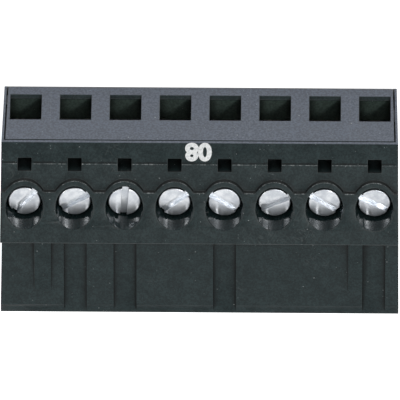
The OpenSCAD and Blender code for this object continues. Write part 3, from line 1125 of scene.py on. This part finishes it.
@dataclass
class MouldingFlash:
    """The raised flash along the fold of the marking band and under the collars."""

    fold_y: float = -9.30 * MM
    fold_z: float = 11.60 * MM
    half_width: float = 19.95 * MM
    hole_half: float = 0.74 * MM
    riser_half: float = 0.5 * MM
    riser_sink: float = 0.015 * MM
    collar_sink: float = 0.02 * MM
    collar_arc_deg: float = 62.0
    collar_steps: int = 12

    def fold_lines(self) -> list[list[Vector]]:
        """Lays the lines along the fold, with a gap at each probe hole."""
        ends = [-self.half_width, *(ROW.pole_x(i) + side * self.hole_half
                                    for i in ROW.numbers() for side in (-1, 1)), self.half_width]
        return [[Vector((x, self.fold_y, self.fold_z)) for x in pair]
                for pair in zip(ends[::2], ends[1::2])]

    def riser_lines(self) -> list[list[Vector]]:
        """Lays the short lines on the riser's edge between the collars."""
        y = ROW.axis_y - ROW.deck_front
        z = ROW.deck_z(y) - self.riser_sink
        middles = [ROW.pole_x(i) + ROW.pitch / 2 for i in range(1, ROW.poles)]
        return [[Vector((x + side * self.riser_half, y, z)) for side in (-1, 1)] for x in middles]

    def collar_line(self, index: int) -> list[Vector]:
        """Lays the arc along the front rim of one collar.

        Args:
            index: The pole's number.

        Returns:
            The points of the arc.
        """
        points = []
        for k in range(self.collar_steps + 1):
            a = math.radians(self.collar_arc_deg * (k / (self.collar_steps / 2) - 1) * 0.5)
            x = ROW.pole_x(index) + ROW.collar_r * math.sin(a)
            y = ROW.axis_y - ROW.collar_r * math.cos(a)
            points.append(Vector((x, y, ROW.deck_z(y) - self.collar_sink)))
        return points

    def build(self, material: bpy.types.Material) -> None:
        """Bakes the flash along all its lines.

        Args:
            material: The finish of the flash.
        """
        bm = bmesh.new()
        collars = [self.collar_line(i) for i in ROW.numbers()]
        for points in self.fold_lines() + self.riser_lines() + collars:
            chain = [bm.verts.new(point) for point in points]
            for pair in zip(chain, chain[1:]):
                bm.edges.new(pair)
        mesh = FlashTree(material).bake(as_mesh(bm, "flash_lines"))
        settle("moulding_flash", mesh, material, "plug_body", Slot.HOUSING)


@dataclass
class PoleMark:
    """The printed count of poles on the marking band, in plain digits."""

    text: str = "08"
    height: float = 1.92 * MM
    width: float = 2.72 * MM
    film: float = 0.008 * MM
    place: Point = (0.13 * MM, -10.26 * MM, 10.72 * MM)
    slope_deg: float = 42.6
    stroke_gain: float = 0.045
    curve_steps: int = 6
    raw_depth: float = 0.002
    weld: float = 1e-5

    def build(self, material: bpy.types.Material) -> None:
        """Sets the digits on the band.

        Args:
            material: The finish of the print.
        """
        text = bpy.data.curves.new("pole_mark", "FONT")
        text.body = self.text
        text.align_x, text.align_y = "CENTER", "CENTER"
        text.offset, text.extrude = self.stroke_gain, self.raw_depth
        text.resolution_u = self.curve_steps
        bm = bmesh.new()
        bm.from_mesh(baked(placed("pole_mark_text", text)))
        bmesh.ops.remove_doubles(bm, verts=bm.verts, dist=self.weld)
        low, high = (Vector([end(v.co[k] for v in bm.verts) for k in range(3)])
                     for end in (min, max))
        raw = high - low
        scale = Matrix.Diagonal((self.width / raw.x, self.height / raw.y, self.film / raw.z, 1.0))
        tilt = Matrix.Rotation(math.radians(self.slope_deg), 4, "X")
        centre = Matrix.Translation(-(low + high) / 2)
        move(bm, Matrix.Translation(self.place) @ tilt @ scale @ centre)
        bmesh.ops.recalc_face_normals(bm, faces=bm.faces)
        settle("pole_mark", as_mesh(bm, "pole_mark"), material, "plug_body", Slot.HOUSING)


# ---- studio


@dataclass(frozen=True)
class Softbox:
    """One rectangular light, given by where it stands and how bright its face is."""

    name: str
    toward: Point
    width: float
    height: float
    radiance: float
    distance: float = 0.7

    def build(self, target: Point) -> None:
        """Puts the light in the scene.

        Args:
            target: The point that the light faces.
        """
        data = bpy.data.lights.new(self.name, "AREA")
        data.shape = "RECTANGLE"
        data.size, data.size_y = self.width, self.height
        data.energy = self.radiance * math.pi * self.width * self.height
        direction = Vector(self.toward).normalized()
        light = placed(self.name, data)
        light.location = Vector(target) + direction * self.distance
        light.rotation_euler = direction.to_track_quat("Z", "Y").to_euler()


@dataclass
class Studio:
    """Pale floor, soft lights, world and camera."""

    focus: Point = (0.0, ROW.axis_y, ROW.head_top)
    shift_right: float = 0.059 * MM
    shift_up: float = 0.239 * MM
    elevation_deg: float = 55.03
    roll_deg: float = 0.366
    yaw: float = -0.007
    distance: float = 1.85
    field_width: float = 40.64 * MM
    sensor_width: float = 36.0
    clip: Span = (0.01, 20.0)
    floor_half: float = 1.2
    floor_cells: int = 8
    floor_tone: float = 0.82
    floor_glow: float = 0.9
    footprint: Span = (20.1 * MM, 10.94 * MM)
    footprint_margin: Span = (0.15 * MM, 0.05 * MM)
    sky_tint: Colour = (0.97, 0.985, 1.0)
    sky_strength: float = 0.34
    boxes: tuple[Softbox, ...] = (
        Softbox("sky_box", (0.0, 0.36, 0.93), 0.44, 0.5, 1.1),
        Softbox("key_left", (-0.42, -0.39, 0.819), 0.085, 0.18, 28.0),
        Softbox("edge_left", (-0.57, 0.09, 0.819), 0.05, 0.2, 9.0),
        Softbox("fill_right", (0.57, -0.07, 0.819), 0.12, 0.17, 12.0),
        Softbox("strip_front", (-0.158, -0.552, 0.819), 0.016, 0.3, 9.0),
    )

    def build_camera(self) -> None:
        """Makes the camera, a little to the left of the row's middle and upside down."""
        e = math.radians(self.elevation_deg)
        back = Vector((self.yaw, -math.cos(e), math.sin(e))).normalized()
        right = Vector((0.0, -math.sin(e), -math.cos(e))).cross(back).normalized()
        up = back.cross(right)
        r = math.radians(self.roll_deg)
        right, up = (right * math.cos(r) + up * math.sin(r),
                     up * math.cos(r) - right * math.sin(r))
        look = Vector(self.focus) + right * self.shift_right + up * self.shift_up
        data = bpy.data.cameras.new("camera")
        data.sensor_width = self.sensor_width
        data.lens = self.sensor_width * self.distance / self.field_width
        data.clip_start, data.clip_end = self.clip
        camera = placed("camera", data)
        turn = Matrix((right, up, back)).transposed().to_4x4()
        camera.matrix_world = Matrix.Translation(look + back * self.distance) @ turn
        bpy.context.scene.camera = camera

    def build_floor(self) -> None:
        """Makes the pale floor, which shows white round the part and keeps its soft shadow."""
        bm = bmesh.new()
        bmesh.ops.create_grid(bm, x_segments=self.floor_cells, y_segments=self.floor_cells,
                              size=self.floor_half)
        f = Finish("floor_white")
        g = f.graph
        path = g.node("ShaderNodeLightPath").outputs
        here = g.split(f.here)
        start, end = self.footprint_margin
        beyond = [g.smooth(g.math("ABSOLUTE", here[k]), half - start, half - end)
                  for k, half in enumerate(self.footprint)]
        seen = g.math("MAXIMUM", path["Is Camera Ray"], path["Is Glossy Ray"])
        seen = g.math("MAXIMUM", seen, path["Is Transmission Ray"])
        glow = g.times(seen, g.math("MAXIMUM", beyond[0], beyond[1]), self.floor_glow)
        f.set(Base_Color=(*[self.floor_tone] * 3, 1.0), Roughness=0.9,
              Emission_Color=(1.0, 1.0, 1.0, 1.0), Emission_Strength=glow)
        floor = placed("floor", as_mesh(bm, "floor"))
        floor.data.materials.append(f.material)

    def build_world(self) -> None:
        """Lights the scene evenly with a plain sky."""
        world = bpy.data.worlds.new("world")
        world.use_nodes = True
        sky = world.node_tree.nodes["Background"].inputs
        sky[0].default_value, sky[1].default_value = (*self.sky_tint, 1.0), self.sky_strength
        bpy.context.scene.world = world

    def build(self) -> None:
        """Builds the whole studio."""
        self.build_floor()
        self.build_world()
        for box in self.boxes:
            box.build(self.focus)
        self.build_camera()
        bpy.context.scene.view_settings.view_transform = "Standard"


def main() -> None:
    """Builds the pieces, dresses them and sets up the studio."""
    logging.basicConfig(level=logging.INFO, format="%(name)s: %(message)s")
    build_groups()
    # the line at this Y is a painted shadow under the flash bead
    housing = PlasticFinish("moulded_black", seam_shadow_y=-9.42 * MM).build()
    # with entries: painted light within them instead of painted shade on risers
    plate = PlasticFinish("moulded_plate", has_entries=True,
                          weld_lines=(-15.24 * MM, -5.08 * MM, 15.24 * MM)).build()
    zinc = MetalFinish("zinc_plated", (0.78, 0.80, 0.825), (0.62, 0.655, 0.70), 0.36).build()
    steel = MetalFinish("cage_steel", (0.62, 0.62, 0.64), (0.40, 0.40, 0.42), 0.32).build()
    tin = MetalFinish("tinned_brass", (0.80, 0.76, 0.68), (0.60, 0.56, 0.48), 0.28).build()
    # the flash's pale tone is partly painted highlight on the fold, riser and collar edges
    flash = FilmFinish("torn_flash_highlight", (0.030, 0.042, 0.043), (0.20, 0.22, 0.22), 3800.0, 0.65,
                       tone_span=(0.38, 0.62), gloss_span=(0.3, 0.7), roughness=(0.5, 0.35)).build()
    ink = FilmFinish("print_white", (0.74, 0.76, 0.76), (0.94, 0.95, 0.94), 5200.0, 0.6,
                     tone_span=(0.35, 0.6), gloss_span=(0.2, 0.8), roughness=(0.6, 0.45),
                     depth=0.003 * MM).build()
    PlugBody().build(housing, plate)
    StampedParts().build(steel, tin)
    ClampScrew().build(zinc)
    MouldingFlash().build(flash)
    PoleMark().build(ink)
    Studio().build()


if __name__ == "__main__":
    main()
